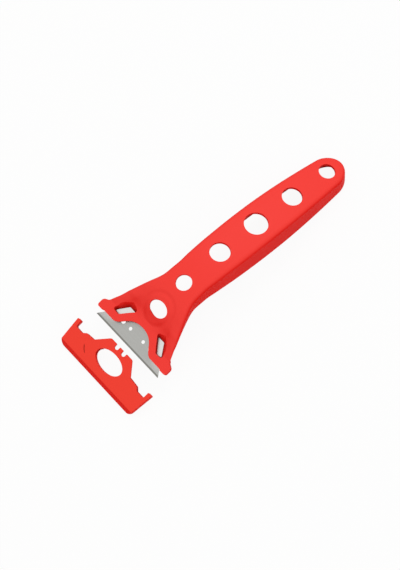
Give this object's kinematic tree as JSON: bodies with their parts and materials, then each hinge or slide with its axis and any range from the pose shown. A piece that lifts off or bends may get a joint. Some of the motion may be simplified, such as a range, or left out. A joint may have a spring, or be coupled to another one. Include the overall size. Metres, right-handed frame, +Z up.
{
  "type": "razor blade scraper",
  "caption": "Hand scraper with an arched hollow handle, a flared head that clamps a flat trapezium blade, and a push-on guard with a snap tongue, shown pulled off.",
  "frame": {"origin": "middle of the bounding box's bottom face, on the table plane", "axes": "+X along the handle towards its tail, +Z up, +Y to the left of someone who looks along +X"},
  "size_m": [0.2214, 0.0732, 0.0354],
  "materials": {
    "red_plastic": "satin",
    "guard_plastic": "satin",
    "blade_steel": "satin"
  },
  "bodies": {
    "handle": {"handle": "red_plastic"},
    "blade": {"blade": "blade_steel"},
    "guard": {"guard": "guard_plastic"}
  },
  "joints": [
    {"name": "blade_slide", "type": "slide", "parent": "handle", "child": "blade", "axis": [-0.9634, 0, -0.268], "range_m": [0, 0.014]},
    {"name": "guard_slide", "type": "slide", "parent": "blade", "child": "guard", "axis": [0.9634, 0, 0.268], "range_m": [0, 0.018]}
  ]
}
